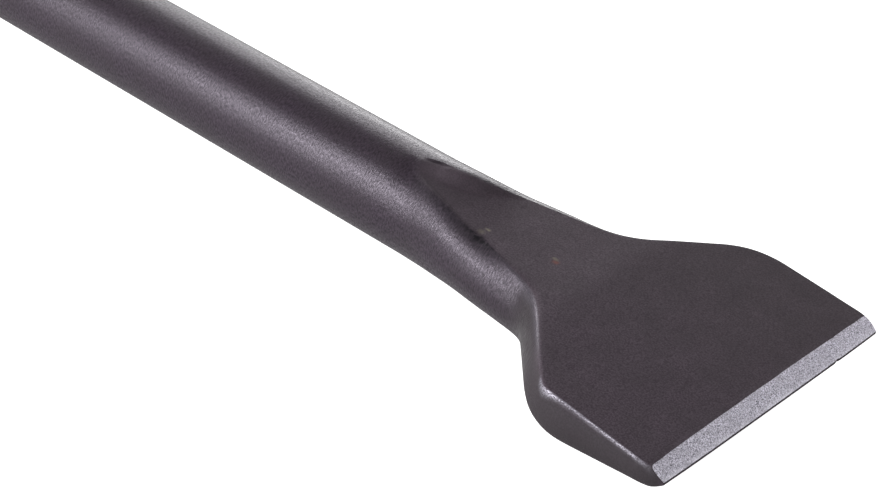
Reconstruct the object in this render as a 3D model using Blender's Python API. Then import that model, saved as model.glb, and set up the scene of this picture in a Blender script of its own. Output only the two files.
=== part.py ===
"""Forged cold chisel: a round bar with a struck head at one end and a wide flat blade at the other.

The tool is one solid, lofted along X through closed rings. Each ring has a flat top and bottom joined by
two bulging side arcs. Where the forged faces run in, they cut slantwise across the bar, and the side arcs
stay the bar's own circle. Metres, +Z up. The tool lies on its shank with the cutting edge towards +X. The
origin is under the middle of its length, on the surface that it rests on.
"""

from math import acos, asin, atan2, cos, hypot, pi, radians, sin, sqrt, tan

import bmesh
import bpy

MM = 0.001

# Driving dimensions, in millimetres. A place along the tool is its distance back from the cutting edge.
LENGTH = 250.0
SHANK_RADIUS = 8.0

HEAD_TAPER_LENGTH = 14.0
HEAD_RADIUS = 6.9
HEAD_CHAMFER = 1.6

# Plan outline: where the bar swells, the neck before the flare, the shoulders and the edge
SWELLING_START = 60.0
SWELLING_FILLET = 40.0
SWELLING_END = 46.0
SWOLLEN_HALF_WIDTH = 10.4
SWOLLEN_FILLET = 60.0
NECK_PLACE = 34.8
NECK_HALF_WIDTH = 11.8
NECK_FILLET = 14.0
SHOULDER_PLACE = 21.8
SHOULDER_HALF_WIDTH = 25.3
SHOULDER_FILLET = 13.0
EDGE_HALF_WIDTH = 24.75

# Side outline: the forged faces cut into the bar, flatten out, and taper straight to the bevels
RUN_IN_START = 65.6
RUN_IN_FILLET = 12.0
CUT_PLACE = 61.2
CUT_HALF_THICKNESS = 6.9
CUT_FILLET = 20.0
ROOT_PLACE = 48.5
ROOT_HALF_THICKNESS = 5.3
ROOT_FILLET = 50.0
BLADE_TAPER_START = 30.0
BLADE_HALF_THICKNESS = 4.5
BLADE_TAPER_FILLET = 30.0

# Half width of the flat faces themselves, inside the side arcs
FACE_ROOT_PLACE = 50.4
FACE_ROOT_HALF_WIDTH = 5.85
FACE_NECK_PLACE = 33.8
FACE_NECK_HALF_WIDTH = 9.5
FACE_SHOULDER_PLACE = 21.2
FACE_SHOULDER_HALF_WIDTH = 23.85
FACE_EDGE_HALF_WIDTH = 24.1
FACE_FILLET = 12.0

BEVEL_LENGTH = 2.3
BEVEL_HALF_THICKNESS = 1.7
LAND_HALF_THICKNESS = 0.22  # the blunt strip left along the cutting edge
CORNER_RELIEF = 0.8         # how far the blade's corners round off in plan
RELIEF_LENGTH = 4.0

# Facets of one ring: odd numbers, so that a flat facet lies underneath the bar
FLAT_FACETS = 7
ARC_FACETS = 9
RING_FACETS = 2 * (FLAT_FACETS + ARC_FACETS)
QUARTER_POINTS = RING_FACETS // 4
EVEN_PLACE = 64.0           # from here back a ring's facets are equal
SETTLED_PLACE = 50.0        # from here forward a facet's edge follows the border of the flat face
OUTLINE_SAMPLES = 96        # steps along one quarter of a section
FILLET_STEP = radians(4.0)
SMOOTH_ANGLE = radians(24.0)

# Rings: (from place, to place, number of steps), and the places on the bevel as shares of its length
BAR_STEPS = 4
RING_SPANS = [(67.3, 56.0, 11), (56.0, 40.0, 8), (40.0, 14.0, 19), (14.0, BEVEL_LENGTH, 4)]
BEVEL_SHARES = (1.0, 0.6, 0.3, 0.1, 0.0)

STEEL_COLOUR = (0.075, 0.069, 0.075, 1.0)
STEEL_ROUGHNESS = 0.55
STEEL_METALLIC = 0.85

# A regular ring's facets lie a little inside its circle, so this height sets the lowest one on z = 0
AXIS_HEIGHT = SHANK_RADIUS * cos(pi / RING_FACETS)


def filleted_line(corners, radii):
    """The open line through the corners, with a tangent arc of the given radius at each inner one."""
    line = [corners[0]]
    for before, corner, after, radius in zip(corners, corners[1:], corners[2:], radii):
        back = (before[0] - corner[0], before[1] - corner[1])
        ahead = (after[0] - corner[0], after[1] - corner[1])
        back_length = hypot(*back)
        ahead_length = hypot(*ahead)
        back = (back[0] / back_length, back[1] / back_length)
        ahead = (ahead[0] / ahead_length, ahead[1] / ahead_length)
        half_angle = acos(back[0] * ahead[0] + back[1] * ahead[1]) / 2
        reach = radius / tan(half_angle)
        middle = (back[0] + ahead[0], back[1] + ahead[1])
        to_centre = radius / sin(half_angle) / hypot(*middle)
        centre = (corner[0] + middle[0] * to_centre, corner[1] + middle[1] * to_centre)
        first = (corner[0] + back[0] * reach - centre[0], corner[1] + back[1] * reach - centre[1])
        last = (corner[0] + ahead[0] * reach - centre[0], corner[1] + ahead[1] * reach - centre[1])
        turn = atan2(first[0] * last[1] - first[1] * last[0], first[0] * last[0] + first[1] * last[1])
        steps = max(4, int(abs(turn) / FILLET_STEP) + 1)
        for step in range(steps + 1):
            c = cos(turn * step / steps)
            s = sin(turn * step / steps)
            line.append((centre[0] + first[0] * c - first[1] * s, centre[1] + first[0] * s + first[1] * c))
    line.append(corners[-1])
    return line


def read_line(line, place):
    """The line's height at a place, between points whose first coordinates fall steadily."""
    for (place_a, value_a), (place_b, value_b) in zip(line, line[1:]):
        if place_b <= place <= place_a:
            return value_a + (value_b - value_a) * (place_a - place) / (place_a - place_b)
    return line[-1][1]


PLAN_LINE = filleted_line(
    [
        (LENGTH, SHANK_RADIUS),
        (SWELLING_START, SHANK_RADIUS),
        (SWELLING_END, SWOLLEN_HALF_WIDTH),
        (NECK_PLACE, NECK_HALF_WIDTH),
        (SHOULDER_PLACE, SHOULDER_HALF_WIDTH),
        (0.0, EDGE_HALF_WIDTH),
    ],
    [SWELLING_FILLET, SWOLLEN_FILLET, NECK_FILLET, SHOULDER_FILLET],
)
SIDE_LINE = filleted_line(
    [
        (LENGTH, SHANK_RADIUS),
        (RUN_IN_START, SHANK_RADIUS),
        (CUT_PLACE, CUT_HALF_THICKNESS),
        (ROOT_PLACE, ROOT_HALF_THICKNESS),
        (BLADE_TAPER_START, BLADE_HALF_THICKNESS),
        (BEVEL_LENGTH, BEVEL_HALF_THICKNESS),
        (0.0, BEVEL_HALF_THICKNESS),
    ],
    [RUN_IN_FILLET, CUT_FILLET, ROOT_FILLET, BLADE_TAPER_FILLET, BEVEL_LENGTH],
)
FACE_LINE = filleted_line(
    [
        (RUN_IN_START, 0.0),
        (FACE_ROOT_PLACE, FACE_ROOT_HALF_WIDTH),
        (FACE_NECK_PLACE, FACE_NECK_HALF_WIDTH),
        (FACE_SHOULDER_PLACE, FACE_SHOULDER_HALF_WIDTH),
        (0.0, FACE_EDGE_HALF_WIDTH),
    ],
    [FACE_FILLET, FACE_FILLET, FACE_FILLET],
)


def corner_relief(place):
    """How far the blade's corners are drawn in towards the cutting edge."""
    return CORNER_RELIEF * max(0.0, 1.0 - place / RELIEF_LENGTH) ** 2


def half_width(place):
    return read_line(PLAN_LINE, place) - corner_relief(place)


def face_half_width(place, thickness):
    """Half width of the flat face: where it cuts the bar's circle, or the forged blade's own line."""
    if place > RUN_IN_START:
        forged = 0.0
    else:
        forged = read_line(FACE_LINE, place) - corner_relief(place)
    on_bar = sqrt(max(SHANK_RADIUS**2 - thickness**2, 0.0))
    return max(forged, on_bar)


def top_height(place, thickness):
    """Height of a ring's flat top above the axis, with the bevel cut."""
    if place >= BEVEL_LENGTH:
        return thickness
    rise = (BEVEL_HALF_THICKNESS - LAND_HALF_THICKNESS) / BEVEL_LENGTH
    return LAND_HALF_THICKNESS + rise * place


def quarter_outline(place):
    """Points (y, z) from the top's middle to the side's middle, and the number of the flat's last one."""
    thickness = read_line(SIDE_LINE, place)
    width = half_width(place)
    bulge = width - face_half_width(place, thickness)
    radius = (thickness**2 + bulge**2) / (2 * bulge)
    top = top_height(place, thickness)
    arc_angle = asin(min(1.0, top / radius))
    flat = max(width - radius + radius * cos(arc_angle), 0.0)
    outline = [(flat * step / OUTLINE_SAMPLES, top) for step in range(OUTLINE_SAMPLES)]
    for step in range(OUTLINE_SAMPLES + 1):
        angle = arc_angle * (1 - step / OUTLINE_SAMPLES)
        outline.append((width - radius + radius * cos(angle), radius * sin(angle)))
    return outline, OUTLINE_SAMPLES


def points_along(outline, distances, stops):
    """Points of the outline at the given distances along it, which rise."""
    points = []
    leg = 1
    for stop in stops:
        while leg < len(distances) - 1 and distances[leg] < stop:
            leg += 1
        span = distances[leg] - distances[leg - 1]
        part = (stop - distances[leg - 1]) / span if span > 0 else 0.0
        (y_a, z_a), (y_b, z_b) = outline[leg - 1], outline[leg]
        points.append((y_a + (y_b - y_a) * part, z_a + (z_b - z_a) * part))
    return points


def blade_ring(place):
    """Corner points of the ring at a place, as (y, z) from the axis."""
    outline, corner = quarter_outline(place)
    distances = [0.0]
    for (y_a, z_a), (y_b, z_b) in zip(outline, outline[1:]):
        distances.append(distances[-1] + hypot(y_b - y_a, z_b - z_a))
    flat_length = distances[corner]
    arc_length = distances[-1] - flat_length
    evenness = min(1.0, max(0.0, (place - SETTLED_PLACE) / (EVEN_PLACE - SETTLED_PLACE)))
    stops = []
    for number in range(QUARTER_POINTS):
        steps = number + 0.5
        past_corner = steps - FLAT_FACETS / 2
        if past_corner <= 0:
            forged = flat_length * steps / (FLAT_FACETS / 2)
        else:
            forged = flat_length + arc_length * past_corner / (ARC_FACETS / 2)
        even = distances[-1] * steps / QUARTER_POINTS
        stops.append(forged + (even - forged) * evenness)
    quarter = points_along(outline, distances, stops)
    right = quarter + [(y, -z) for y, z in reversed(quarter)]
    return right + [(-y, -z) for y, z in right]


def round_ring(radius):
    """A regular ring with a facet squarely on top, numbered as blade_ring numbers its points."""
    ring = []
    for step in range(RING_FACETS):
        angle = 2 * pi * (step + 0.5) / RING_FACETS
        ring.append((radius * sin(angle), radius * cos(angle)))
    return ring


def blade_places():
    """Places of the rings in front of the bar: close where the form turns, exact at the bevel's start."""
    places = []
    for start, end, steps in RING_SPANS:
        places += [start + (end - start) * step / steps for step in range(steps)]
    places += [BEVEL_LENGTH * share for share in BEVEL_SHARES]
    return places


def chisel_rings():
    """Every ring from the striking face to the cutting edge, as (place, points)."""
    rings = [
        (LENGTH, round_ring(HEAD_RADIUS - HEAD_CHAMFER)),
        (LENGTH - HEAD_CHAMFER, round_ring(HEAD_RADIUS)),
    ]
    bar_start = LENGTH - HEAD_TAPER_LENGTH
    bar_end = RING_SPANS[0][0]
    for step in range(BAR_STEPS):
        place = bar_start + (bar_end - bar_start) * step / BAR_STEPS
        rings.append((place, round_ring(SHANK_RADIUS)))
    rings += [(place, blade_ring(place)) for place in blade_places()]
    return rings


def steel_material():
    material = bpy.data.materials.new("darkened_forged_steel")
    material.use_nodes = True
    shader = material.node_tree.nodes["Principled BSDF"]
    shader.inputs["Base Color"].default_value = STEEL_COLOUR
    shader.inputs["Roughness"].default_value = STEEL_ROUGHNESS
    shader.inputs["Metallic"].default_value = STEEL_METALLIC
    return material


def make_chisel():
    mesh = bpy.data.meshes.new("chisel")
    loft = bmesh.new()
    loops = []
    for place, points in chisel_rings():
        x = LENGTH / 2 - place
        loops.append([loft.verts.new((x * MM, y * MM, (z + AXIS_HEIGHT) * MM)) for y, z in points])
    loft.faces.new(loops[0])
    for behind, ahead in zip(loops, loops[1:]):
        for i in range(RING_FACETS):
            j = (i + 1) % RING_FACETS
            loft.faces.new((behind[i], ahead[i], ahead[j], behind[j]))
    loft.faces.new(loops[-1][::-1])
    bmesh.ops.recalc_face_normals(loft, faces=loft.faces)
    bmesh.ops.triangulate(loft, faces=loft.faces)
    loft.to_mesh(mesh)
    loft.free()
    mesh.shade_smooth()
    mesh.set_sharp_from_angle(angle=SMOOTH_ANGLE)
    mesh.materials.append(steel_material())
    chisel = bpy.data.objects.new("chisel", mesh)
    bpy.context.scene.collection.objects.link(chisel)
    return chisel


for old in list(bpy.data.objects):
    bpy.data.objects.remove(old, do_unlink=True)
make_chisel()
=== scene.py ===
"""The looks of the forged cold chisel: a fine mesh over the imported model, its finishes and a studio.

The visual mesh is lofted along the tool from the same form as the CAD solid, and then carries what
forging, blasting and use leave on it: crowned faces, rounded corners, a sunk run-in with a lap and a
cold shut, shallow pits, a nicked cutting edge and a hammered head.

Form sizes are in millimetres, and a place along the tool is its distance back from the cutting edge.
Left is -Y and right is +Y, as seen from ahead of the edge. The built mesh is in metres, in the frame's
axes.
"""

from math import radians

import bpy
import numpy as np
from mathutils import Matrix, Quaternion, Vector, noise


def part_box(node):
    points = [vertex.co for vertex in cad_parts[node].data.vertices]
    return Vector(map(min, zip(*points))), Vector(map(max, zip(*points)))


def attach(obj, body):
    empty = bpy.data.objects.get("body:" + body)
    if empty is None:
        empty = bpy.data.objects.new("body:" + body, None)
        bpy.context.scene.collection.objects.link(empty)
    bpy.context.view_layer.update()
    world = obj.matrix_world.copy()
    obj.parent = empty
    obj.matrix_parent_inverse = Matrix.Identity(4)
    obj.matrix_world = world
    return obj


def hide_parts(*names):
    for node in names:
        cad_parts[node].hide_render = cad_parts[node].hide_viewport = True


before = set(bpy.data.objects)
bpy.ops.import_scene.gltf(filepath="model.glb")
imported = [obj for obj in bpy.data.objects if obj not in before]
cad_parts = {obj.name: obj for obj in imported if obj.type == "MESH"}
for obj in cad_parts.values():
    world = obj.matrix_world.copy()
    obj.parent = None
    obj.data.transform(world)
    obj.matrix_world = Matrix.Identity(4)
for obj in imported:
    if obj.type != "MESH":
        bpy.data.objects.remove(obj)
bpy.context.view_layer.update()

MM = 0.001
TOOL_LOW, TOOL_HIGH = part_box("chisel")
LENGTH = (TOOL_HIGH.x - TOOL_LOW.x) / MM
SHANK_RADIUS = 8.0
AXIS_HEIGHT = (TOOL_HIGH.z + TOOL_LOW.z) / 2 / MM

# Form of the head, in millimetres
HEAD_TAPER_LENGTH = 14.0
HEAD_RADIUS = 6.9
HEAD_CHAMFER = 1.6

# Plan outline of each side: (place, half width) corners, and the fillet at each inner one
PLAN_CORNERS = [(LENGTH, SHANK_RADIUS), (58.5, SHANK_RADIUS), (46.0, 10.9), (34.6, 11.75),
                (21.8, 25.25), (0.0, 24.75)]
PLAN_FILLETS = [40.0, 60.0, 14.0, 13.0]
LEFT_PLAN_CORNERS = [(LENGTH, SHANK_RADIUS), (60.0, SHANK_RADIUS), (46.0, 10.4), (34.8, 11.7),
                     (21.75, 25.3), (0.0, 24.75)]
LEFT_PLAN_FILLETS = [40.0, 60.0, 6.0, 13.5]

# Border of the forged faces in plan: (place, half width) corners, and the fillet at each inner one.
# The run-in is a slanting cut across the round bar, so its border is where the cut leaves the bar.
FACE_TIP = 64.6
BLADE_BORDER = [(33.8, 9.5), (21.2, 23.85), (0.0, 24.1)]
FACE_CORNERS = [(LENGTH, 0.0), (FACE_TIP, 0.0), (62.6, 3.3), (59.5, 4.3), (50.4, 5.85), *BLADE_BORDER]
FACE_FILLETS = [1.0, 3.0, 10.0, 10.0, 14.0, 11.0]
# On the upper right the bar's cheek is rolled in over the cut, almost to the middle
ROLLED_CORNERS = [(LENGTH, 0.0), (62.6, 0.0), (60.8, 0.75), (57.6, 1.6), (53.6, 3.3), (49.8, 5.8),
                  (33.8, 9.7), (21.2, 23.85), (0.0, 24.1)]
ROLLED_FILLETS = [1.0, 2.0, 4.0, 10.0, 12.0, 14.0, 11.0]
# The upper left border, down to a shoulder that is dressed sharper than the others
DRESSED_CORNERS = [(LENGTH, 0.0), (FACE_TIP, 0.0), (62.6, 2.9), (60.3, 3.95), (50.0, 5.85), (45.2, 6.6),
                   (33.8, 9.7), (21.0, 23.55), (0.0, 24.25)]
DRESSED_FILLETS = [1.0, 3.0, 20.0, 10.0, 8.0, 14.0, 1.2]
# How much of the round bar's height each cheek keeps at its crest, as (place, share)
LEFT_CHEEK = [(46.0, 0.0), (50.0, 1.0), (58.0, 1.0), (61.5, 0.0)]
RIGHT_CHEEK = [(48.0, 0.0), (53.0, 0.5), (57.0, 0.85), (60.5, 1.0)]
UNDER_CHEEK = [(46.0, 0.0), (50.0, 1.0)]
# Width of a cheek's inner wall, as (place, width), and the share of that width level with the crest
LEFT_WALL = [(50.0, 0.5), (60.0, 0.8)]
RIGHT_WALL = [(50.0, 1.2), (57.0, 3.0), (62.0, 3.4)]
WALL_TOP_SHARE = 0.2
# What share of the right cheek's height is a sharp step at its crest, and how wide that step is
RIGHT_STEP = [(59.5, 0.0), (60.6, 0.2), (62.0, 0.2), (63.4, 0.0)]
STEP_WIDTH = 0.3
STEP_TOP_SHARE = 0.1

# Side outline: (place, half thickness) corners of the forged faces, and the fillet at each inner one
BEVEL_LENGTH = 2.2
BEVEL_HALF_THICKNESS = 1.7
BLADE_SLOPE = 0.1           # how fast the blade's faces close towards the bevel
SIDE_CORNERS = [(LENGTH, SHANK_RADIUS), (65.6, SHANK_RADIUS), (61.2, 6.9), (48.5, 5.3), (30.0, 4.5),
                (BEVEL_LENGTH, BEVEL_HALF_THICKNESS), (-1.0, 1.37)]
SIDE_FILLETS = [12.0, 20.0, 50.0, 30.0, 0.0]
OUTLINE_SOFTENING = 0.5     # forging leaves no sharp change of curvature: blur radius along the tool

LAND_HALF_THICKNESS = 0.22
CORNER_RELIEF = 0.8
RELIEF_LENGTH = 4.0
EDGE_BOW = 0.15             # how far the cutting edge bows forward at its middle
CROWN = 0.08                # how much fuller the blade's faces are at the middle than at the corners

# Half-ring layout: columns on the flat, on its rounded corner and on the side arc
FLAT_COLUMNS = 50
CORNER_COLUMNS = 7
SIDE_COLUMNS = 10
QUARTER_COLUMNS = FLAT_COLUMNS + CORNER_COLUMNS + SIDE_COLUMNS
DENSE_STEPS = 160
EASING_PASSES = 8
MOST_LEAN_SHARE = 0.8       # of the lean that would flatten a side's arc
MOST_ROUNDING_SHARE = 0.9   # of the half thickness

RUN_IN_START = 65.5
ALL_ROUND = 76.0            # from here back the section is the bar's circle
EVEN_PLACE = 64.5           # from here back a ring's columns are equally spaced
RUN_IN_SETTLED = 52.0       # from here forward they follow the forged corners
# Spacing of the rings along the tool, as (from place, to place, step)
RING_SPANS = [
    (LENGTH - HEAD_TAPER_LENGTH, 80.0, 1.3),
    (80.0, RUN_IN_START, 0.8),
    (RUN_IN_START, 40.0, 0.42),
    (40.0, 14.0, 0.45),
    (14.0, BEVEL_LENGTH, 0.55),
    (BEVEL_LENGTH, 0.0, 0.33),
]
# The head's rings: shares of the struck face's radius, and of the chamfer's and the taper's length
STRUCK_FACE_SHARES = (0.04, 0.12, 0.22, 0.34, 0.46, 0.58, 0.70, 0.82, 0.92, 0.98)
CHAMFER_SHARES = np.linspace(0.04, 1.0, 12)
TAPER_SHARES = np.linspace(0.08, 0.96, 14)
CHAMFER_ROUNDNESS = 1.4
TAPER_BULGE = 0.25

# Finishes, as material numbers
DARKENED, GROUND, STRUCK = range(3)
STRUCK_CHAMFER_SHARE = 0.6  # how much of the chamfer the hammer has reached
SHARP_ANGLE = radians(28)


def smooth_step(low, high, value):
    part = np.clip((value - low) / (high - low), 0.0, 1.0)
    return part * part * (3.0 - 2.0 * part)


def filleted_line(corners, radii, arc_step=radians(2.0)):
    """The open line through the corners, with a tangent arc of the given radius at each inner one."""
    points = [np.array(corner, float) for corner in corners]
    line = [points[0]]
    for before, corner, after, radius in zip(points, points[1:], points[2:], radii):
        back = (before - corner) / np.linalg.norm(before - corner)
        ahead = (after - corner) / np.linalg.norm(after - corner)
        if radius == 0.0:
            line.append(corner)
            continue
        half_angle = np.arccos(back @ ahead) / 2
        middle = (back + ahead) / np.linalg.norm(back + ahead)
        centre = corner + middle * radius / np.sin(half_angle)
        first = corner + back * radius / np.tan(half_angle) - centre
        last = corner + ahead * radius / np.tan(half_angle) - centre
        turn = np.arctan2(first[0] * last[1] - first[1] * last[0], first @ last)
        steps = max(4, int(abs(turn) / arc_step) + 1)
        for angle in np.linspace(0.0, turn, steps + 1):
            c, s = np.cos(angle), np.sin(angle)
            line.append(centre + np.array([first[0] * c - first[1] * s, first[0] * s + first[1] * c]))
    line.append(points[-1])
    return np.array(line)


class Outline:
    """Half width or half thickness against place, softened along the tool."""

    step = 0.1

    def __init__(self, corners, radii):
        line = filleted_line(corners, radii)[::-1]
        self.places = np.arange(line[0, 0], line[-1, 0], self.step)
        values = np.interp(self.places, line[:, 0], line[:, 1])
        reach = int(3 * OUTLINE_SOFTENING / self.step)
        weights = np.exp(-0.5 * (np.arange(-reach, reach + 1) * self.step / OUTLINE_SOFTENING) ** 2)
        slope_in = values[0] - np.arange(reach, 0, -1) * (values[1] - values[0])
        padded = np.concatenate([slope_in, values, np.full(reach, values[-1])])
        self.values = np.convolve(padded, weights / weights.sum(), "valid")

    def at(self, place):
        return np.interp(place, self.places, self.values)


plan = Outline(PLAN_CORNERS, PLAN_FILLETS)
left_plan = Outline(LEFT_PLAN_CORNERS, LEFT_PLAN_FILLETS)
face = Outline(FACE_CORNERS, FACE_FILLETS)
rolled_face = Outline(ROLLED_CORNERS, ROLLED_FILLETS)
dressed_face = Outline(DRESSED_CORNERS, DRESSED_FILLETS)
side = Outline(SIDE_CORNERS, SIDE_FILLETS)


def relief(place):
    """How far the edge's ends are drawn in near the edge."""
    return CORNER_RELIEF * np.clip(1.0 - place / RELIEF_LENGTH, 0.0, 1.0) ** 2


def half_width(place, outline=plan):
    return outline.at(place) - relief(place)


def face_border(place, outline=face):
    """Half width of the forged face, where its plane meets the side."""
    return outline.at(place) - relief(place)


# Radius of the corner between a face and a side, as (place, radius)
ROUNDING = [(0.0, 0.30), (15.0, 0.30), (19.0, 0.5), (22.0, 1.2), (26.0, 1.4), (31.0, 0.7), (34.0, 0.6),
            (42.0, 0.5), (60.0, 0.5), (66.0, 1.5)]
ROLLED_ROUNDING = [(0.0, 0.30), (15.0, 0.30), (22.0, 0.5), (28.0, 0.8), (34.0, 1.0), (42.0, 1.1),
                   (52.0, 1.1), (58.0, 0.5), (66.0, 1.5)]
DRESSED_ROUNDING = [(0.0, 0.40), (2.0, 0.50), (5.0, 0.34), (15.0, 0.34), (19.0, 0.60), (22.0, 1.0),
                    (25.0, 1.8), (34.0, 2.3), (42.0, 0.8), (60.0, 0.5), (66.0, 1.0)]
# Lean of a side at its middle, in degrees, as (place, lean): the upper left side is the flattest
UPRIGHT = [(0.0, 0.0), (1.0, 0.0)]
FLATTENED = [(0.0, 6.0), (22.0, 9.0), (28.0, 13.0), (36.0, 16.0), (42.0, 14.0), (48.0, 7.0), (53.0, 0.0)]


def by_place(place, pairs):
    return np.interp(place, *zip(*pairs))


def bevel_rise():
    return (BEVEL_HALF_THICKNESS - LAND_HALF_THICKNESS) / BEVEL_LENGTH


def quarter_curve(place, outline=face, rounding=ROUNDING, leans=UPRIGHT, cheek=0.0, width=plan):
    """One quarter of the ring at a place, from the flat's middle to the side's, as (y, z) columns."""
    h = side.at(place) + cheek
    a = half_width(place, width)
    bulge = min(a - face_border(place, outline), h)
    lean = min(radians(by_place(place, leans)), MOST_LEAN_SHARE * np.arctan(bulge / h))
    r = (h * h + bulge * bulge) / (2 * (bulge * np.cos(lean) - h * np.sin(lean)))
    rc = min(by_place(place, rounding), MOST_ROUNDING_SHARE * h)
    centre_y, centre_z = a - r * np.cos(lean), -r * np.sin(lean)
    flat_end = centre_y + np.sqrt(max((r - rc) ** 2 - (h - rc - centre_z) ** 2, 0.0))
    join_angle = np.arcsin(min((h - rc - centre_z) / (r - rc), 1.0))
    join_z = centre_z + r * np.sin(join_angle)
    corner_length = rc * (np.pi / 2 - join_angle)
    side_length = r * (join_angle - lean)
    top = min(h, LAND_HALF_THICKNESS + bevel_rise() * place) if place < BEVEL_LENGTH else h
    level = top * np.cos(np.linspace(0.0, np.pi / 2, DENSE_STEPS))
    on_corner = flat_end + np.sqrt(np.maximum(rc * rc - np.maximum(level - (h - rc), 0.0) ** 2, 0.0))
    on_side = centre_y + np.sqrt(np.maximum(r * r - (level - centre_z) ** 2, 0.0))
    outer = np.where(level > join_z, on_corner, on_side)
    y = np.concatenate([np.linspace(0.0, outer[0], DENSE_STEPS)[:-1], outer])
    z = np.concatenate([np.full(DENSE_STEPS - 1, top), level])
    along = np.concatenate([[0.0], np.cumsum(np.hypot(np.diff(y), np.diff(z)))])
    rest = along[-1] - outer[0]
    corner_share = corner_length / (corner_length + side_length)
    side_stops = (1 - corner_share) * np.arange(1, SIDE_COLUMNS + 1) / SIDE_COLUMNS
    forged = np.concatenate([
        np.linspace(0.0, outer[0], FLAT_COLUMNS + 1),
        outer[0] + rest * corner_share * np.arange(1, CORNER_COLUMNS + 1) / CORNER_COLUMNS,
        outer[0] + rest * (corner_share + side_stops),
    ])
    even = np.linspace(0.0, along[-1], QUARTER_COLUMNS + 1)
    evenness = smooth_step(RUN_IN_SETTLED, EVEN_PLACE, place)
    stops = forged * (1 - evenness) + even * evenness
    return np.interp(stops, along, y), np.interp(stops, along, z)


def cheek_height(place, outline, shares):
    """How far the crest of a cheek stands above the cut."""
    crest = face_border(place, outline)
    bar = np.sqrt(max(SHANK_RADIUS**2 - crest**2, 0.0))
    return by_place(place, shares) * max(bar - side.at(place), 0.0)


def sunk_behind(quarter, place, outline, cheek, walls, steps=None):
    """The quarter with its face sunk behind a cheek's crest: down a sharp step, if any, and a wall."""
    y, z = quarter
    crest = face_border(place, outline)
    wall = by_place(place, walls)
    rise = smooth_step(crest - wall, crest - WALL_TOP_SHARE * wall, y)
    if steps:
        step = by_place(place, steps)
        rise = (1 - step) * rise
        rise += step * smooth_step(crest - STEP_WIDTH, crest - STEP_TOP_SHARE * STEP_WIDTH, y)
    return y, z - cheek * (1 - rise)


def raised_towards(left_quarter, place, right_cheek):
    """The left quarter with the foot of the right cheek's wall, where that reaches past the middle."""
    y, z = left_quarter
    mirrored = (-y, np.zeros_like(z))
    foot = sunk_behind(mirrored, place, rolled_face, right_cheek, RIGHT_WALL, RIGHT_STEP)[1]
    return y, z + right_cheek + foot


def forged_ring(place):
    """The ring at a place ahead of the round bar. Hammer and die left its four quarters different."""
    left = cheek_height(place, dressed_face, LEFT_CHEEK)
    right = cheek_height(place, rolled_face, RIGHT_CHEEK)
    upper_left = quarter_curve(place, dressed_face, DRESSED_ROUNDING, FLATTENED, left, left_plan)
    upper_left = sunk_behind(upper_left, place, dressed_face, left, LEFT_WALL)
    upper_right = quarter_curve(place, rolled_face, ROLLED_ROUNDING, cheek=right)
    upper_right = sunk_behind(upper_right, place, rolled_face, right, RIGHT_WALL, RIGHT_STEP)
    upper_left = raised_towards(upper_left, place, right)
    under = cheek_height(place, face, UNDER_CHEEK)
    lower_right = quarter_curve(place, cheek=under)
    lower_left = quarter_curve(place, cheek=under, width=left_plan)
    y, z = full_ring(upper_right, upper_left, lower_right, lower_left)
    return eased_side(y), eased_side(z)


def full_ring(upper_right, upper_left, lower_right, lower_left):
    """A closed ring from quarters: the top from left to right, then round under and back."""
    top_y = np.concatenate([-upper_left[0][:0:-1], upper_right[0]])
    top_z = np.concatenate([upper_left[1][:0:-1], upper_right[1]])
    under_y = np.concatenate([lower_right[0][-2::-1], -lower_left[0][1:-1]])
    under_z = -np.concatenate([lower_right[1][-2::-1], lower_left[1][1:-1]])
    return np.concatenate([top_y, under_y]), np.concatenate([top_z, under_z])


def eased_side(ring):
    """The ring with the change of lean at the left side's middle spread over its nearest columns."""
    reach = SIDE_COLUMNS // 2
    middle = np.arange(-reach, reach)
    for _ in range(EASING_PASSES):
        mean = (np.roll(ring, 1) + 2 * ring + np.roll(ring, -1)) / 4
        ring[middle] = mean[middle]
    return ring


def round_ring(radius):
    angle = np.linspace(0.0, np.pi / 2, QUARTER_COLUMNS + 1)
    quarter = (radius * np.sin(angle), radius * np.cos(angle))
    return full_ring(quarter, quarter, quarter, quarter)


def spaced(start, end, step):
    count = max(1, int(round(abs(end - start) / step)))
    return np.linspace(start, end, count, endpoint=False)


def ring_places():
    """Nominal places of the rings between the head and the edge, from the head forward."""
    return np.concatenate([*(spaced(*span) for span in RING_SPANS), [0.0]])


def head_rings():
    """Rings of the struck face, its chamfer and the taper, as (place, radius), from the centre."""
    face_radius = HEAD_RADIUS - HEAD_CHAMFER
    rings = [(LENGTH, face_radius * share) for share in STRUCK_FACE_SHARES]
    for share in CHAMFER_SHARES:
        widening = HEAD_CHAMFER * (1 - (1 - share) ** CHAMFER_ROUNDNESS)
        rings.append((LENGTH - HEAD_CHAMFER * share, face_radius + widening))
    reach = HEAD_TAPER_LENGTH - HEAD_CHAMFER
    for share in TAPER_SHARES:
        blend = share + TAPER_BULGE * share * (1 - share)
        radius = HEAD_RADIUS + (SHANK_RADIUS - HEAD_RADIUS) * blend
        rings.append((LENGTH - HEAD_CHAMFER - reach * share, radius))
    return rings


def lofted_grid():
    """Ring points as an array (ring, column, (place, y, z)), and each ring's nominal place."""
    rings = []
    nominal = []
    for place, radius in head_rings():
        y, z = round_ring(radius)
        rings.append(np.stack([np.full_like(y, place), y, z], 1))
        nominal.append(place)
    for place in ring_places():
        if place > ALL_ROUND:
            y, z = round_ring(SHANK_RADIUS)
        else:
            y, z = forged_ring(place)
        rings.append(np.stack([np.full_like(y, place), y, z], 1))
        nominal.append(place)
    return np.array(rings), np.array(nominal)


SEED_SPACING = 17.3         # how far apart, in features, two seeds read the same noise


def value_noise(points, size, seed, stretch=(1.0, 1.0, 1.0)):
    """Smooth noise from -1 to 1 over points in millimetres, with features about size across."""
    scaled = points / (size * np.array(stretch)) + seed * SEED_SPACING
    flat = scaled.reshape(-1, 3)
    values = np.fromiter((noise.noise(Vector(p)) for p in flat), float, len(flat))
    return values.reshape(points.shape[:-1])


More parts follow.
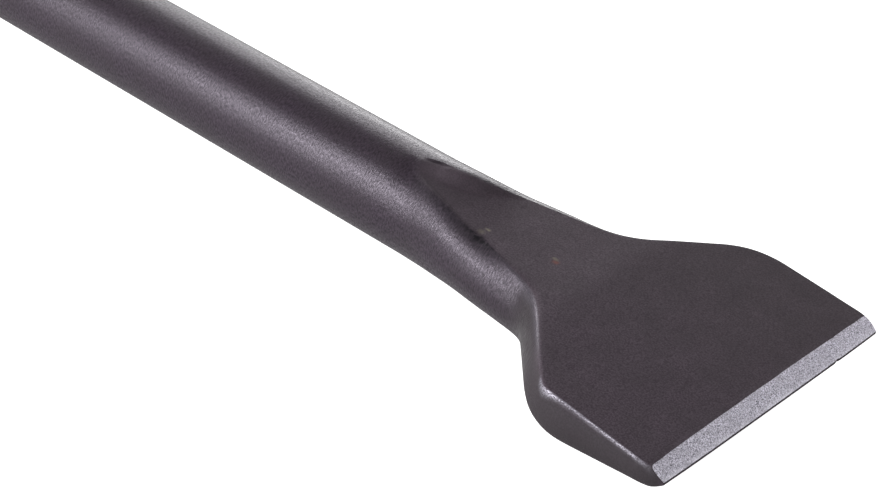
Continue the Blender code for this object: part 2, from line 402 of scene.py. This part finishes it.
def grid_normals(points):
    """Outward unit normals of the lofted grid."""
    along = np.gradient(points, axis=0)
    across = np.roll(points, -1, axis=1) - np.roll(points, 1, axis=1)
    normals = np.cross(across, along)
    return normals / np.maximum(np.linalg.norm(normals, axis=2, keepdims=True), 1e-9)


def distance_to_path(points, path):
    """Distance in plan from points to a polyline of (place, y), and their share of the way along it."""
    nearest = np.full(points.shape[:2], 1e9)
    along = np.zeros(points.shape[:2])
    legs = len(path) - 1
    for number, (start, end) in enumerate(zip(path, path[1:])):
        start, end = np.array(start), np.array(end)
        leg = end - start
        offset = points[..., :2] - start
        part = np.clip((offset @ leg) / (leg @ leg), 0.0, 1.0)
        gap = np.linalg.norm(offset - part[..., None] * leg, axis=2)
        closer = gap < nearest
        nearest = np.where(closer, gap, nearest)
        along = np.where(closer, (number + part) / legs, along)
    return nearest, along


# The lap: a seam along the crest of the left cheek, with a hole near its end, both darkened with painted
# shade
LAP_PATH = [(57.0, -4.75), (53.5, -5.4), (50.2, -5.95), (48.2, -6.25), (46.9, -6.42), (45.7, -6.6),
            (43.9, -6.95), (41.5, -7.55), (38.9, -8.45)]
LAP_DEPTH = [(0.0, 0.03), (0.22, 0.07), (0.33, 0.14), (0.42, 0.36), (0.50, 0.40), (0.58, 0.28),
             (0.66, 0.15), (0.8, 0.08), (1.0, 0.0)]
LAP_WIDTH = [(0.0, 0.40), (0.31, 0.42), (0.45, 0.48), (0.60, 0.38), (0.75, 0.24), (1.0, 0.20)]
# The cold shut: a small sharp step where the die first bit into the bar
SHUT_PATH = [(63.5, -0.5), (62.55, -0.12), (61.6, 0.32), (60.6, 0.72), (59.2, 1.05)]
SHUT_DEPTH = [(0.0, 0.0), (0.25, 0.07), (0.5, 0.09), (0.75, 0.05), (1.0, 0.0)]
SHUT_WIDTH = 0.18
# The depths at which the painted shade in the lap and the cold shut is at its darkest
LAP_DARK_DEPTH = 0.17
SHUT_DARK_DEPTH = 0.10
# Painted shade outside the upper left border: how dark, how far out and how wide, and where it fades
SHADE_BAND_STRENGTH = 0.45
SHADE_BAND_OFFSET = 0.7
SHADE_BAND_WIDTH = 0.7
SHADE_BAND_FRONT = (41.0, 46.0)
SHADE_BAND_BACK = (63.5, 60.0)

# Unevenness, as (depth, size, seed) and a stretch along the tool where there is one
FORGED_WAVES = [(0.035, 9.0, 1), (0.018, 3.2, 2), (0.006, 1.1, 3)]
BAR_WAVES = [(0.016, 14.0, 4, (2.0, 1.0, 1.0)), (0.003, 1.6, 6)]
FORGED_WAVES_FADE = (66.0, 52.0)
BAR_WAVES_FADE = (40.0, 60.0)
BEVEL_CLEARANCE = 2.5       # unevenness starts behind the bevel and is full this much further back
HEAD_FADE = (LENGTH - 0.5, LENGTH - 4.0)

# Marks on the upper face: (place, y, radius, depth)
UPPER_DENTS = [(20.3, -18.0, 0.55, 0.09), (19.4, -18.2, 0.35, 0.07), (22.1, -17.2, 0.4, 0.05),
               (8.4, -8.1, 0.5, 0.05), (36.8, -2.1, 0.35, 0.06), (48.0, -5.1, 0.35, 0.07),
               (53.9, -5.1, 0.30, 0.08), (57.4, -4.4, 0.25, 0.07), (76.5, -4.6, 0.30, 0.08),
               (14.5, 6.5, 0.5, 0.04), (27.0, 3.0, 0.45, 0.04)]
# Coloured marks on the upper face: a rust spot as (place, y, radius), and specks with a strength too
RUST_SPOT = (36.6, -2.4, 0.38)
PALE_SPECKS = [(47.7, -4.1, 0.20, 1.6), (48.0, -5.1, 0.45, 0.3), (37.1, -1.85, 0.24, 1.0)]
# A nick in the cutting edge
NICK_Y = 14.4
NICK_REACH = 0.3
NICK_DEPTH = 0.14
NICK_LENGTH = 0.8           # how far back from the edge the nick is felt
# Small pits all over, and how many rings at the head and at the edge are left without
PIT_SEED = 11
PIT_COUNT = 90
PIT_RADIUS = (0.25, 0.6)
PIT_DEPTH = (0.015, 0.05)
PITLESS_HEAD_RINGS = 24
PITLESS_EDGE_RINGS = 14
DENT_REACH = 3              # radii within which a dent or pit is felt


def pressed(points, normals, depth):
    """Points moved inward along their normals by a depth in millimetres."""
    return points - normals * depth[..., None]


def dent_depth(points, top, marks):
    depth = np.zeros(points.shape[:2])
    for place, y, radius, deep in marks:
        gap2 = (points[..., 0] - place) ** 2 + (points[..., 1] - y) ** 2
        near = gap2 < (DENT_REACH * radius) ** 2
        depth += np.where(near & top, deep * np.exp(-gap2 / radius**2), 0.0)
    return depth


def random_pits(points):
    """Shallow pits scattered over the whole tool."""
    rng = np.random.default_rng(PIT_SEED)
    rings, columns = points.shape[:2]
    depth = np.zeros((rings, columns))
    for _ in range(PIT_COUNT):
        ring = rng.integers(PITLESS_HEAD_RINGS, rings - PITLESS_EDGE_RINGS)
        centre = points[ring, rng.integers(0, columns)]
        radius = rng.uniform(*PIT_RADIUS)
        deep = rng.uniform(*PIT_DEPTH)
        gap2 = ((points - centre) ** 2).sum(2)
        depth += np.where(gap2 < (DENT_REACH * radius) ** 2, deep * np.exp(-gap2 / radius**2), 0.0)
    return depth


def border_inset(points):
    """How far inside the forged face's border each point lies in plan; negative outside it."""
    place, y, z = points[..., 0], points[..., 1], points[..., 2]
    upper = np.where(y < 0, face_border(place, dressed_face), face_border(place, rolled_face))
    return np.where(z > 0, upper, face_border(place)) - np.abs(y)


# How wide the change from forged to bar finish is on the left, as (place, width), and on the right
LEFT_FEATHER = [(44.0, 0.12), (58.0, 0.4), (62.0, 1.0)]
RIGHT_FEATHER = 0.15
FORGED_TIP_FADE = (FACE_TIP + 0.3, FACE_TIP - 3.0)
FORGED_ALL_ROUND = (28.0, 23.0)     # the sides too are forged from here forward


def forged_amount(points):
    """1 on the dull die-forged faces and all of the blade, 0 on the satin bar."""
    place, y = points[..., 0], points[..., 1]
    inset = border_inset(points)
    feather = np.where(y < 0, by_place(place, LEFT_FEATHER), RIGHT_FEATHER)
    on_face = smooth_step(-feather, feather, inset) * smooth_step(*FORGED_TIP_FADE, place)
    return np.maximum(on_face, smooth_step(*FORGED_ALL_ROUND, place))


# Width in plan of the rubbed stripe outside the dressed border, as (place, width), and of the others
WORN_WIDTH = [(1.0, 0.50), (3.0, 0.26), (6.0, 0.23), (15.0, 0.23), (17.5, 0.28), (19.5, 0.38),
              (21.2, 0.30), (22.4, 0.30), (25.0, 0.70), (36.0, 0.90), (44.0, 0.60)]
WORN_ELSEWHERE = 0.08
# How strongly the others are rubbed, and the dressed border's stripe along the neck, which is a painted
# highlight
OTHERS_WORN = 0.45
NECK_HIGHLIGHT = 0.22
WORN_BACK, WORN_FRONT = (22.4, 21.6), (0.8, 5.0)
NECK_HIGHLIGHT_BACK, NECK_HIGHLIGHT_FRONT = (45.0, 36.0), (25.0, 29.0)


def wear_and_highlight_amount(points):
    """1 along the blade's corners between its faces and sides, where the finish has rubbed through, and
    weaker along the neck's upper left border as a painted highlight.
    """
    place, y, z = points[..., 0], points[..., 1], points[..., 2]
    dressed = (y < 0) & (z > 0)
    width = np.where(dressed, by_place(place, WORN_WIDTH), WORN_ELSEWHERE)
    inset = border_inset(points)
    stripe = smooth_step(0.10, -0.02, inset) * smooth_step(-1.5 * width - 0.05, -0.6 * width, inset)
    ends = smooth_step(*WORN_BACK, place) * smooth_step(*WORN_FRONT, place)
    neck = NECK_HIGHLIGHT * smooth_step(*NECK_HIGHLIGHT_BACK, place) * smooth_step(*NECK_HIGHLIGHT_FRONT, place)
    ends = np.where(dressed, np.maximum(ends, neck), ends)
    return stripe * ends * np.where(dressed, 1.0, OTHERS_WORN)


# The upright sides: the upward parts of their normals, and the places, between which they turn grey
FLANK_TILT = (0.80, 0.45)
FLANK_BACK, FLANK_FRONT = (42.0, 32.0), (0.0, 1.0)


def flank_amount(points):
    """1 on the blade's upright sides, which are coloured darker and greyer than its faces."""
    place = points[..., 0]
    upright = smooth_step(*FLANK_TILT, np.abs(grid_normals(points)[..., 2]))
    return upright * smooth_step(*FLANK_BACK, place) * smooth_step(*FLANK_FRONT, place)


# The brightest line along the cutting edge: how strong it is, and the places between which it fades
KEEN_STRENGTH = 0.6
KEEN_FADE = (0.5, 0.1)
# The bevel's start follows the crown: how its line wavers, and how its shift dies out up the blade
CROWN_FADE = (44.0, 24.0)
WAVER_DEPTH, WAVER_SIZE, WAVER_SEED = 0.05, 3.0, 5
SHIFT_END = 9.0
SHIFT_FADE_LENGTH = 6.7


def crown_and_bevel(points, nominal):
    """Fullness of the blade's faces, and the bow that it gives to the line where the bevel starts."""
    y, z = points[..., 1], points[..., 2]
    columns = np.arange(points.shape[1])
    half = points.shape[1] // 2
    on_flat = (np.abs(columns - QUARTER_COLUMNS) < FLAT_COLUMNS)
    on_flat |= (np.abs(columns - QUARTER_COLUMNS - half) < FLAT_COLUMNS)
    reach = half_width(nominal)[:, None]
    crown = CROWN * np.clip(1 - (y / reach) ** 2, 0.0, 1.0)
    fullness = crown * smooth_step(*CROWN_FADE, nominal)[:, None]
    fullness = np.where(on_flat[None, :], fullness, 0.0)
    across = np.stack([np.zeros_like(y), y, z * 0.2], 2)
    waver = WAVER_DEPTH * value_noise(across, WAVER_SIZE, WAVER_SEED)
    ahead = fullness / (bevel_rise() - BLADE_SLOPE) + np.where(on_flat[None, :], waver, 0.0)
    ground = nominal <= BEVEL_LENGTH
    fading = np.clip((SHIFT_END - nominal) / SHIFT_FADE_LENGTH, 0.0, 1.0)
    shift = ahead * np.where(ground, nominal / BEVEL_LENGTH, fading)[:, None]
    on_bevel = np.clip(1 - nominal / BEVEL_LENGTH, 0.0, 1.0)[:, None]
    points[..., 0] -= EDGE_BOW * np.clip(1 - (y / reach) ** 4, 0.0, 1.0) * on_bevel
    near_edge = np.clip(1 - nominal / NICK_LENGTH, 0.0, 1.0)[:, None]
    points[..., 0] += NICK_DEPTH * (np.exp(-((y - NICK_Y) / NICK_REACH) ** 2) * near_edge)
    points[..., 0] += shift
    rise = np.where(ground[:, None], shift * bevel_rise(), fullness - BLADE_SLOPE * shift)
    points[..., 2] += np.where(on_flat[None, :], np.sign(z) * rise, 0.0)
    return points


def uneven_by(points, waves):
    return sum(depth * value_noise(points, *wave) for depth, *wave in waves)


def spot(place, y, top, at, y_at, radius):
    """A round mark on the upper face, 1 at its middle."""
    return np.exp(-((place - at) ** 2 + (y - y_at) ** 2) / radius**2) * top


def build_grid():
    """The finished grid, its rings' nominal places, and the masks that the finishes read."""
    points, nominal = lofted_grid()
    points = crown_and_bevel(points, nominal)
    forged = forged_amount(points)
    wear_and_highlight = wear_and_highlight_amount(points)
    normals = grid_normals(points)
    place, y, z = points[..., 0], points[..., 1], points[..., 2]
    top = z > 0
    off_bevel = smooth_step(BEVEL_LENGTH, BEVEL_LENGTH + BEVEL_CLEARANCE, nominal)[:, None]
    off_head = smooth_step(*HEAD_FADE, place)

    uneven = uneven_by(points, FORGED_WAVES) * (0.35 + 0.65 * forged)
    uneven = uneven * smooth_step(*FORGED_WAVES_FADE, place)
    uneven += uneven_by(points, BAR_WAVES) * smooth_step(*BAR_WAVES_FADE, place)
    depth = uneven * off_bevel * off_head

    lap_gap, lap_along = distance_to_path(points, LAP_PATH)
    lap_profile = np.exp(-(lap_gap / by_place(lap_along, LAP_WIDTH)) ** 2)
    lap = np.where(top, by_place(lap_along, LAP_DEPTH) * lap_profile, 0.0)
    shut_gap, shut_along = distance_to_path(points, SHUT_PATH)
    shut_profile = np.exp(-(shut_gap / SHUT_WIDTH) ** 2)
    shut = np.where(top, by_place(shut_along, SHUT_DEPTH) * shut_profile, 0.0)
    depth += lap + shut
    depth += dent_depth(points, top, UPPER_DENTS) + random_pits(points) * off_bevel * off_head

    # Painted shade: the lap's and the cold shut's hollows darkened by their depth
    crease_shade = np.clip(lap / LAP_DARK_DEPTH, 0.0, 1.0) + np.clip(shut / SHUT_DARK_DEPTH, 0.0, 1.0)
    # Painted shade: a dark band on the bar just outside the upper left border
    shade_band = np.exp(-((border_inset(points) + SHADE_BAND_OFFSET) / SHADE_BAND_WIDTH) ** 2)
    shade_band = shade_band * np.where(top & (y < 0), SHADE_BAND_STRENGTH, 0.0)
    crease_shade += shade_band * smooth_step(*SHADE_BAND_FRONT, place) * smooth_step(*SHADE_BAND_BACK, place)
    keen = KEEN_STRENGTH * smooth_step(*KEEN_FADE, nominal)[:, None]
    masks = {
        "forged": forged,
        "wear_and_highlight": wear_and_highlight,
        "crease_shade": np.clip(crease_shade, 0, 1),
        "rust": spot(place, y, top, *RUST_SPOT),
        "speck": sum(strength * spot(place, y, top, *where) for *where, strength in PALE_SPECKS),
        "flank": flank_amount(points),
        "keen": keen * np.ones(points.shape[:2]),
    }
    return pressed(points, normals, depth), nominal, masks


def mesh_from_grid(points, nominal, masks):
    """The grid as a closed mesh with its finishes and masks: quads, the head's cap and the land."""
    rings, columns = points.shape[:2]
    x = LENGTH / 2 - points[..., 0]
    world = np.stack([x * MM, points[..., 1] * MM, (points[..., 2] + AXIS_HEIGHT) * MM], 2)
    ring = np.arange(rings - 1)[:, None]
    column = np.arange(columns)[None, :]
    after = (column + 1) % columns
    quads = np.stack([
        ring * columns + column, ring * columns + after,
        (ring + 1) * columns + after, (ring + 1) * columns + column,
    ], 2)
    half = columns // 2
    left, right = QUARTER_COLUMNS - FLAT_COLUMNS, QUARTER_COLUMNS + FLAT_COLUMNS
    on_flat = ((column >= left) & (column < right)) | ((column >= left + half) & (column < right + half))
    finish = np.zeros((rings - 1, columns), int)
    finish[(nominal[:-1, None] <= BEVEL_LENGTH + 1e-6) & on_flat] = GROUND
    finish[nominal[:-1] > LENGTH - STRUCK_CHAMFER_SHARE * HEAD_CHAMFER] = STRUCK
    faces = quads.reshape(-1, 4).tolist()
    finishes = finish.reshape(-1).tolist()
    faces.append(list(range(columns))[::-1])
    finishes.append(STRUCK)
    last = (rings - 1) * columns
    for i in range(left, right):
        under = (last + (2 * half - i - 1) % columns, last + (2 * half - i) % columns)
        faces.append([last + i, last + i + 1, *under])
        finishes.append(DARKENED)
    faces.append([last + i for i in range(right, 2 * half - right + 1)])
    faces.append([last + i % columns for i in range(2 * half - left, columns + left + 1)])
    finishes += [DARKENED, DARKENED]
    mesh = bpy.data.meshes.new("chisel_steel")
    mesh.from_pydata(world.reshape(-1, 3).tolist(), [], faces)
    mesh.polygons.foreach_set("material_index", finishes)
    for name, values in masks.items():
        layer = mesh.attributes.new(name, "FLOAT", "POINT")
        layer.data.foreach_set("value", values.reshape(-1).astype(np.float32))
    mesh.validate()
    return mesh


def add_sharp_edges(mesh):
    """Smooth shading, broken at sharp turns and wherever two finishes meet."""
    mesh.shade_smooth()
    mesh.set_sharp_from_angle(angle=SHARP_ANGLE)
    finishes = np.empty(len(mesh.polygons), int)
    mesh.polygons.foreach_get("material_index", finishes)
    edges = np.empty(len(mesh.loops), int)
    mesh.loops.foreach_get("edge_index", edges)
    sizes = np.empty(len(mesh.polygons), int)
    mesh.polygons.foreach_get("loop_total", sizes)
    loop_finish = np.repeat(finishes, sizes)
    lowest = np.full(len(mesh.edges), 99)
    highest = np.full(len(mesh.edges), -1)
    np.minimum.at(lowest, edges, loop_finish)
    np.maximum.at(highest, edges, loop_finish)
    sharp = np.empty(len(mesh.edges), bool)
    layer = mesh.attributes["sharp_edge"].data
    layer.foreach_get("value", sharp)
    layer.foreach_set("value", sharp | (lowest != highest))


LIGHTS_AIM = (60.0, 0.0, 8.0)
LIGHT_DISTANCE = 1.25
# Banks of lamps as (name, diameter, lamps), with each lamp as (azimuth, elevation, power)
LIGHT_BANKS = [
    ("key", 0.34, [(-42, 38, 3.9), (-35, 26, 9.0), (-35, 16, 3.0), (-35, 6, 2.8)]),
    ("back", 0.40, [(-112, 8, 9.3), (-136, 27, 2.5), (-136, 8, 1.0), (-150, 8, 2.8)]),
    ("edge", 0.50, [(145, 34, 4.0)]),
    ("neck", 0.30, [(-80, 16, 0.5)]),
]
WORLD_GLOW = 0.0
FLOOR_GLOW = 0.07
FLOOR_REACH = 3.0

SENSOR_WIDTH = 36.0
LENS = 95.7
CAMERA_AT = (247.1, -219.9, 196.8)
CAMERA_AIM = (71.64, -6.57, 7.98)
CAMERA_ROLL = radians(5.28)

# Base colours, linear. The bar's and the dull faces' are the dark and light ends of their grain.
BAR_DARK, BAR_LIGHT = (0.020, 0.015, 0.021, 1), (0.070, 0.053, 0.071, 1)
DULL_DARK, DULL_LIGHT = (0.050, 0.036, 0.047, 1), (0.091, 0.068, 0.086, 1)
# Painted light: the dull faces' paler colour towards the run-in's tip, lifting the sloping cut
TIP_PAINTED_LIGHT = (0.125, 0.100, 0.122, 1)
RIGHT_WARM = (0.066, 0.056, 0.058, 1)
FLANK_GREY = (0.038, 0.033, 0.035, 1)
CLOUD_DARK = (0.038, 0.031, 0.035, 1)
# Painted shade for the lap, the cold shut and the band beside the upper left border
CREASE_SHADE_BLACK = (0.008, 0.007, 0.009, 1)
RUST_RED = (0.17, 0.050, 0.034, 1)
SPECK_PALE = (0.30, 0.27, 0.19, 1)
# Rubbed bare steel at the blade's corners, and a painted highlight along the neck's upper left border
RUBBED_AND_HIGHLIGHT_BRIGHT = (0.28, 0.265, 0.305, 1)
BEVEL_DARK, BEVEL_LIGHT = (0.22, 0.21, 0.25, 1), (0.76, 0.73, 0.83, 1)
BEVEL_CLOUD = (0.36, 0.34, 0.39, 1)
BEVEL_KEEN = (0.86, 0.84, 0.92, 1)
BEVEL_PIT = (0.06, 0.055, 0.065, 1)
HEAD_STAINED, HEAD_BARE = (0.10, 0.09, 0.10, 1), (0.42, 0.40, 0.43, 1)
# Noise values between which a grain goes from its one look to its other
GRAIN = (0.36, 0.64)
SOFT_GRAIN = (0.3, 0.7)
STREAK_SHORTENING = 2.4     # streaks are this much longer round the bar than along it


class Shader:
    """A node material under construction, with short calls for the nodes that the finishes share."""

    def __init__(self, name):
        self.material = bpy.data.materials.new(name)
        self.material.use_nodes = True
        self.tree = self.material.node_tree
        self.principled = self.tree.nodes["Principled BSDF"]
        self.coordinates = self.tree.nodes.new("ShaderNodeTexCoord").outputs["Object"]

    def put(self, socket, value):
        if isinstance(value, bpy.types.NodeSocket):
            self.tree.links.new(value, socket)
        else:
            socket.default_value = value

    def node(self, kind, settings=(), **inputs):
        made = self.tree.nodes.new(kind)
        for key, value in dict(settings).items():
            setattr(made, key, value)
        for key, value in inputs.items():
            self.put(made.inputs[key], value)
        return made

    def math(self, operation, a, b):
        made = self.tree.nodes.new("ShaderNodeMath")
        made.operation = operation
        for socket, value in zip(made.inputs, (a, b)):
            self.put(socket, value)
        return made.outputs[0]

    def mask(self, name):
        return self.node("ShaderNodeAttribute", {"attribute_name": name}).outputs["Fac"]

    def grain(self, size_mm, detail, at=None):
        """Noise from 0 to 1 with features about size_mm across."""
        where = self.coordinates if at is None else at
        made = self.node("ShaderNodeTexNoise", Vector=where, Scale=1.0 / (size_mm * MM), Detail=detail)
        return made.outputs["Fac"]

    def ramp(self, value, low, high, to_low=0.0, to_high=1.0):
        made = self.node("ShaderNodeMapRange", {"clamp": True}, Value=value)
        for socket, number in zip(list(made.inputs)[1:5], (low, high, to_low, to_high)):
            self.put(socket, number)
        return made.outputs["Result"]

    def blend(self, factor, a, b):
        made = self.tree.nodes.new("ShaderNodeMix")
        made.data_type = "RGBA"
        self.put(made.inputs["Factor"], factor)
        self.put(made.inputs["A"], a)
        self.put(made.inputs["B"], b)
        return made.outputs["Result"]

    def blend_value(self, factor, a, b):
        made = self.tree.nodes.new("ShaderNodeMix")
        made.data_type = "FLOAT"
        for socket, value in zip((made.inputs[0], made.inputs[2], made.inputs[3]), (factor, a, b)):
            self.put(socket, value)
        return made.outputs[0]

    def bump(self, height, distance_mm, strength, normal=None):
        made = self.node("ShaderNodeBump", Height=height, Strength=strength, Distance=distance_mm * MM)
        if normal is not None:
            self.put(made.inputs["Normal"], normal)
        return made.outputs["Normal"]


def darkened_steel():
    """Blasted, darkened forging: satin on the bar, dull on the forged faces, rubbed at the corners."""
    s = Shader("darkened_steel")
    forged, wear_and_highlight = s.mask("forged"), s.mask("wear_and_highlight")
    ragged = s.ramp(s.grain(0.7, 3.0), 0.36, 0.56, 0.55, 1.15)
    crease_shade = s.math("MULTIPLY", s.mask("crease_shade"), ragged)
    place = s.node("ShaderNodeSeparateXYZ", Vector=s.coordinates)
    below_axis = s.math("SUBTRACT", AXIS_HEIGHT * MM, place.outputs["Z"])
    turn = s.math("ARCTAN2", place.outputs["Y"], below_axis)
    round_way = s.math("MULTIPLY", turn, SHANK_RADIUS * MM)
    along = s.math("MULTIPLY", place.outputs["X"], STREAK_SHORTENING)
    streak_at = s.node("ShaderNodeCombineXYZ", X=along, Y=round_way).outputs[0]
    streaks = s.grain(0.55, 3.0, streak_at)
    fine = s.grain(0.24, 3.0)
    cloud = s.grain(5.0, 3.0)

    bar = s.blend(s.ramp(streaks, *GRAIN), BAR_DARK, BAR_LIGHT)
    dull = s.blend(s.ramp(fine, *GRAIN), DULL_DARK, DULL_LIGHT)
    # Painted light: the dull faces turn paler towards the run-in's tip
    dull = s.blend(s.ramp(place.outputs["X"], 0.058, 0.078, 0.55, 0.0), dull, TIP_PAINTED_LIGHT)
    dull = s.blend(s.ramp(place.outputs["Y"], -0.012, 0.024, 0.0, 0.45), dull, RIGHT_WARM)
    colour = s.blend(forged, bar, dull)
    colour = s.blend(s.math("MULTIPLY", s.mask("flank"), 0.85), colour, FLANK_GREY)
    colour = s.blend(s.ramp(cloud, *SOFT_GRAIN, 0.0, 0.35), colour, CLOUD_DARK)
    # Painted shade: the lap, the cold shut and the band beside the upper left border darkened almost to
    # black
    colour = s.blend(s.math("MULTIPLY", crease_shade, 0.85), colour, CREASE_SHADE_BLACK)
    colour = s.blend(s.mask("rust"), colour, RUST_RED)
    colour = s.blend(s.mask("speck"), colour, SPECK_PALE)
    # Real wear on the blade's corners; along the neck the same bright colour is a painted highlight
    rubbed_and_highlight = s.math("MULTIPLY", wear_and_highlight, s.ramp(s.grain(0.18, 2.0), 0.35, 0.62, 0.2, 1.0))
    colour = s.blend(rubbed_and_highlight, colour, RUBBED_AND_HIGHLIGHT_BRIGHT)
    s.put(s.principled.inputs["Base Color"], colour)

    near_run_in = s.ramp(place.outputs["X"], -0.01, 0.05, 1.0, 0.88)
    satin = s.math("MULTIPLY", near_run_in, s.ramp(streaks, *GRAIN, 0.50, 0.31))
    rough = s.blend_value(forged, satin, s.ramp(fine, *SOFT_GRAIN, 0.80, 0.60))
    rough = s.blend_value(rubbed_and_highlight, rough, 0.48)
    s.put(s.principled.inputs["Roughness"], s.blend_value(crease_shade, rough, 0.9))
    s.put(s.principled.inputs["Metallic"], rubbed_and_highlight)
    s.principled.inputs["Specular IOR Level"].default_value = 0.3
    s.principled.inputs["Specular Tint"].default_value = (0.94, 0.86, 1.0, 1.0)

    blasted = s.bump(fine, 0.020, 0.6)
    blasted = s.bump(streaks, 0.045, s.blend_value(forged, 0.8, 0.15), blasted)
    s.put(s.principled.inputs["Normal"], s.bump(s.grain(0.9, 2.0), 0.03, 0.5, blasted))
    return s.material


def ground_steel():
    """The bare bevel: bright, finely blasted, with a few dark pits."""
    s = Shader("ground_steel")
    sparkle = s.grain(0.17, 2.0)
    cloud = s.grain(2.5, 2.0)
    colour = s.blend(s.ramp(sparkle, *GRAIN), BEVEL_DARK, BEVEL_LIGHT)
    colour = s.blend(s.ramp(cloud, *SOFT_GRAIN, 0.0, 0.25), colour, BEVEL_CLOUD)
    keen = s.math("MULTIPLY", s.mask("keen"), s.ramp(s.grain(4.0, 2.0), 0.35, 0.6, 0.15, 1.0))
    colour = s.blend(keen, colour, BEVEL_KEEN)
    pits = s.ramp(s.grain(0.42, 1.0), 0.29, 0.24)
    colour = s.blend(pits, colour, BEVEL_PIT)
    s.put(s.principled.inputs["Base Color"], colour)
    s.put(s.principled.inputs["Roughness"], s.ramp(sparkle, *SOFT_GRAIN, 0.62, 0.46))
    s.principled.inputs["Metallic"].default_value = 0.6
    s.put(s.principled.inputs["Normal"], s.bump(sparkle, 0.03, 0.6))
    return s.material


def struck_steel():
    """The head's face: bare where the hammer lands, stained between the blows."""
    s = Shader("struck_steel")
    blows = s.grain(1.6, 3.0)
    fine = s.grain(0.2, 2.0)
    colour = s.blend(s.ramp(blows, 0.35, 0.65), HEAD_STAINED, HEAD_BARE)
    s.put(s.principled.inputs["Base Color"], colour)
    s.put(s.principled.inputs["Roughness"], s.ramp(fine, *SOFT_GRAIN, 0.5, 0.35))
    s.principled.inputs["Metallic"].default_value = 0.8
    s.put(s.principled.inputs["Normal"], s.bump(fine, 0.02, 0.5, s.bump(blows, 0.08, 0.5)))
    return s.material


def add_mesh():
    mesh = mesh_from_grid(*build_grid())
    add_sharp_edges(mesh)
    piece = bpy.data.objects.new("chisel_steel", mesh)
    bpy.context.scene.collection.objects.link(piece)
    for material in (darkened_steel(), ground_steel(), struck_steel()):
        mesh.materials.append(material)
    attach(piece, "root")
    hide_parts("chisel")


def add_camera():
    data = bpy.data.cameras.new("camera")
    data.sensor_width = SENSOR_WIDTH
    data.lens = LENS
    camera = bpy.data.objects.new("camera", data)
    camera.location = Vector(CAMERA_AT) * MM
    aim = Vector(CAMERA_AIM) * MM
    camera.rotation_mode = "QUATERNION"
    turn = (aim - camera.location).to_track_quat("-Z", "Y")
    camera.rotation_quaternion = turn @ Quaternion((0.0, 0.0, 1.0), CAMERA_ROLL)
    data.clip_start = 0.01
    data.clip_end = 20.0
    bpy.context.scene.collection.objects.link(camera)
    bpy.context.scene.camera = camera


def add_floor():
    """A pale floor, as white as the surround to the camera, that lights the tool very little."""
    mesh = bpy.data.meshes.new("floor")
    corners = [(FLOOR_REACH * x, FLOOR_REACH * y, 0) for x, y in ((-1, -1), (1, -1), (1, 1), (-1, 1))]
    mesh.from_pydata(corners, [], [(0, 1, 2, 3)])
    floor = bpy.data.objects.new("floor", mesh)
    bpy.context.scene.collection.objects.link(floor)
    s = Shader("floor_white")
    s.principled.inputs["Base Color"].default_value = (0.85, 0.85, 0.85, 1)
    s.principled.inputs["Roughness"].default_value = 0.8
    s.principled.inputs["Emission Color"].default_value = (1, 1, 1, 1)
    seen = s.node("ShaderNodeLightPath").outputs["Is Camera Ray"]
    s.put(s.principled.inputs["Emission Strength"], s.blend_value(seen, FLOOR_GLOW, 1.0))
    mesh.materials.append(s.material)


def add_light(name, azimuth, elevation, power, size):
    """A soft round light aimed at the blade. Azimuth is in degrees from -Y towards +X."""
    data = bpy.data.lights.new(name, "AREA")
    data.shape = "DISK"
    data.size = size
    data.energy = power
    light = bpy.data.objects.new(name, data)
    turn, rise = radians(azimuth), radians(elevation)
    away = Vector((np.cos(rise) * np.sin(turn), -np.cos(rise) * np.cos(turn), np.sin(rise)))
    light.location = Vector(LIGHTS_AIM) * MM + away * LIGHT_DISTANCE
    light.rotation_mode = "QUATERNION"
    light.rotation_quaternion = away.to_track_quat("Z", "Y")
    bpy.context.scene.collection.objects.link(light)


def add_lights():
    """The studio's lamps: most banks are slanting rows that act as one long soft light."""
    for bank, size, lamps in LIGHT_BANKS:
        for number, (azimuth, elevation, power) in enumerate(lamps):
            add_light(f"{bank}_{number}", azimuth, elevation, power, size)


def add_world():
    """A white surround for the camera that gives no light of its own."""
    world = bpy.data.worlds.new("studio")
    world.use_nodes = True
    tree = world.node_tree
    background = tree.nodes["Background"]
    background.inputs["Color"].default_value = (1, 1, 1, 1)
    strength = tree.nodes.new("ShaderNodeMix")
    strength.data_type = "FLOAT"
    tree.links.new(tree.nodes.new("ShaderNodeLightPath").outputs["Is Camera Ray"], strength.inputs[0])
    strength.inputs[2].default_value = WORLD_GLOW
    strength.inputs[3].default_value = 1.0
    tree.links.new(strength.outputs[0], background.inputs["Strength"])
    bpy.context.scene.world = world


add_camera()
add_mesh()
add_floor()
add_lights()
add_world()
bpy.context.scene.view_settings.view_transform = "Standard"
